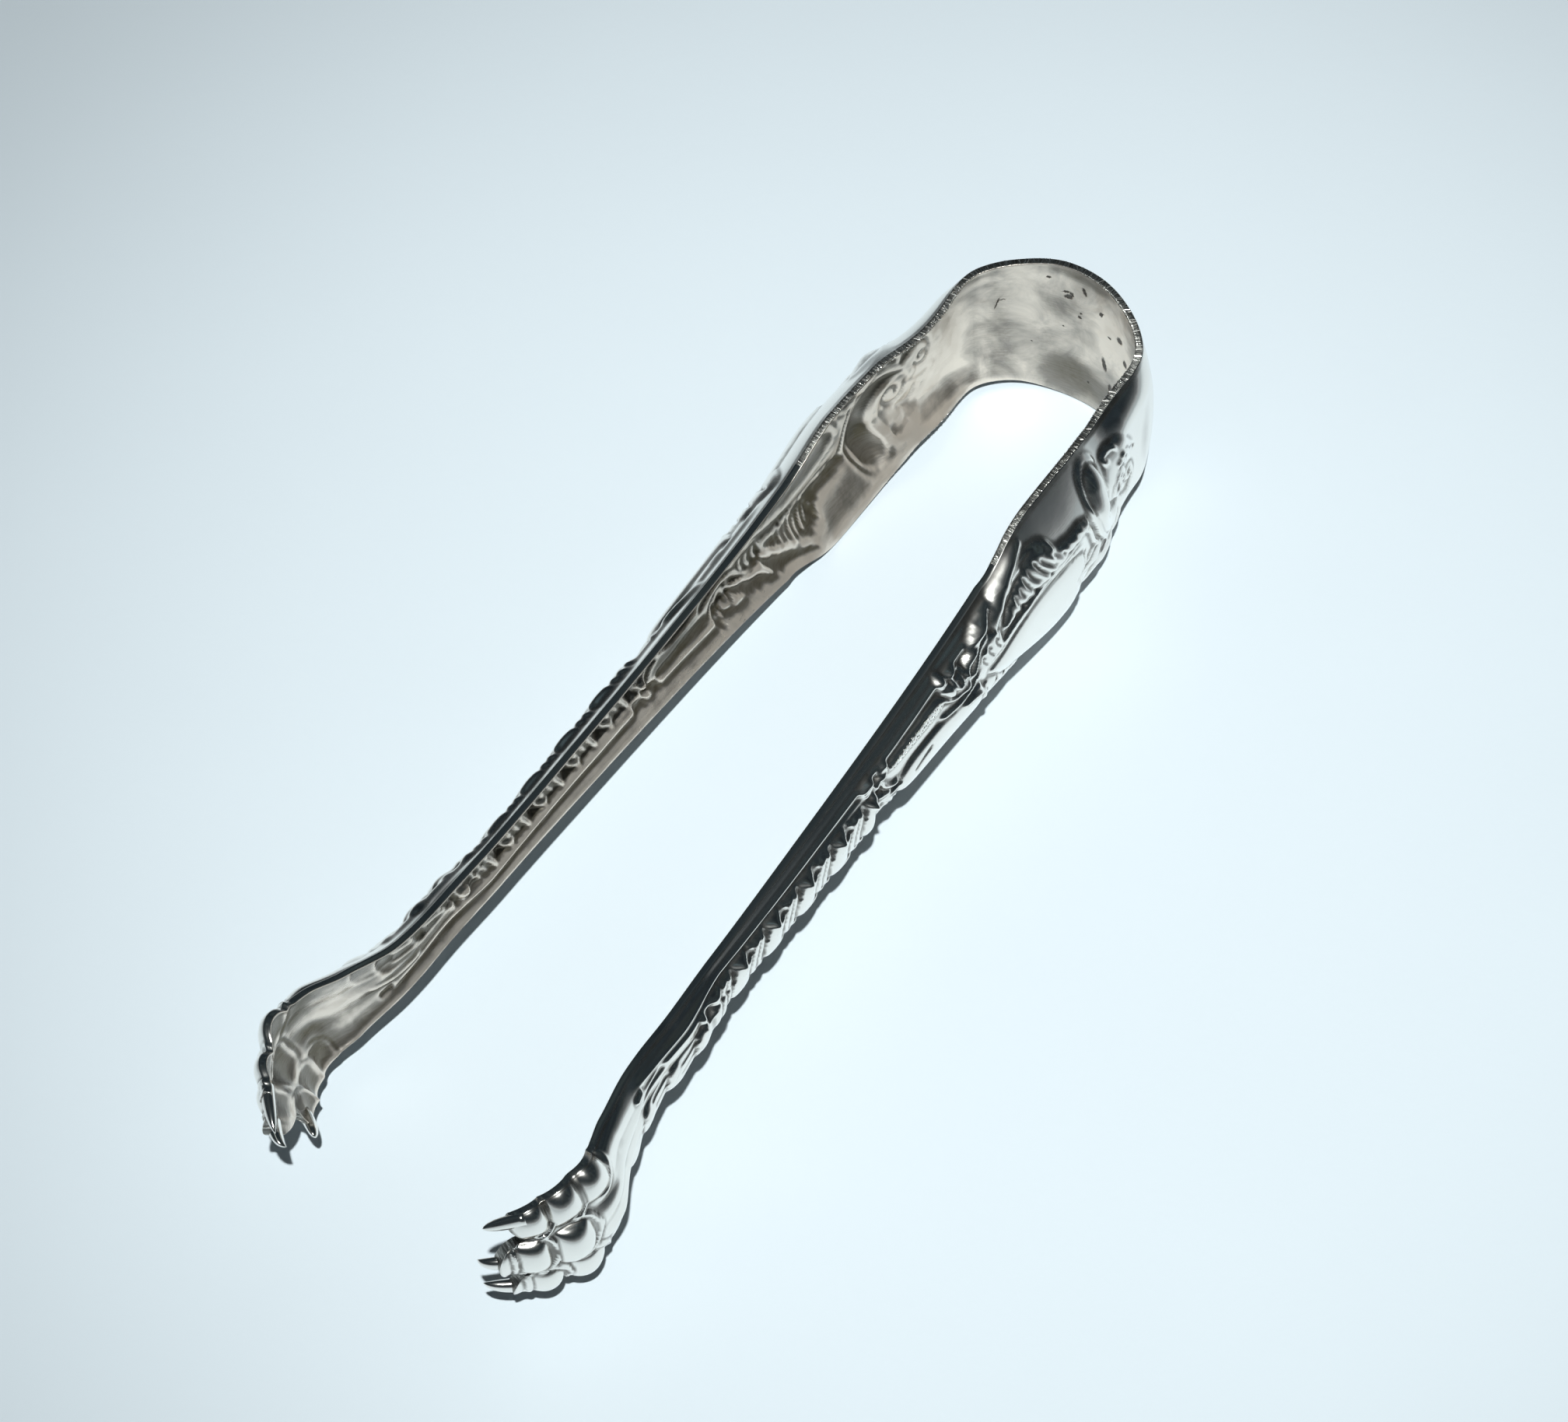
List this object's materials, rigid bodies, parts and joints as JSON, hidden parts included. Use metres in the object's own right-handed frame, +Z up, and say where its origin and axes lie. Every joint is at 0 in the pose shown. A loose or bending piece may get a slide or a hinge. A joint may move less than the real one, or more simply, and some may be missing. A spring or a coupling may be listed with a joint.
{
  "type": "sugar tongs",
  "caption": "Silver sugar tongs: a stamped strip bent into a spring bow, with scrolled shoulders, twisted stems and an eagle's claw on each arm",
  "frame": {"origin": "on the lower edge of the spring bow, at its crown and in the middle of the sheet's thickness, with the tongs lying on their long edge", "axes": "+Y along the tongs towards the bow, +Z up across the strip's width, +X across the jaws towards the right arm"},
  "size_m": [0.0358, 0.1017, 0.0166],
  "materials": {
    "silver_polished": "polished silver with dark tarnish in the hollows",
    "silver_satin": "worn satin silver with a few dark pits"
  },
  "bodies": {
    "bow": {"bow": "silver_satin"},
    "left_arm": {"left_arm": "silver_polished", "left_claw": "silver_polished"},
    "right_arm": {"right_arm": "silver_polished", "right_claw": "silver_polished"}
  },
  "joints": [
    {"name": "left_flex", "type": "hinge", "parent": "bow", "child": "left_arm", "pos_m": [-0.00663, -0.00258, 0.0083], "axis": [0, 0, 1], "range_deg": [0, 4.8], "stiffness_Nm_per_rad": 2},
    {"name": "right_flex", "type": "hinge", "parent": "bow", "child": "right_arm", "pos_m": [0.00663, -0.00258, 0.0083], "axis": [0, 0, 1], "range_deg": [-4.8, 0], "stiffness_Nm_per_rad": 2}
  ],
  "couplings": [
    {"joint": "right_flex", "follows": "left_flex", "ratio": -1}
  ]
}
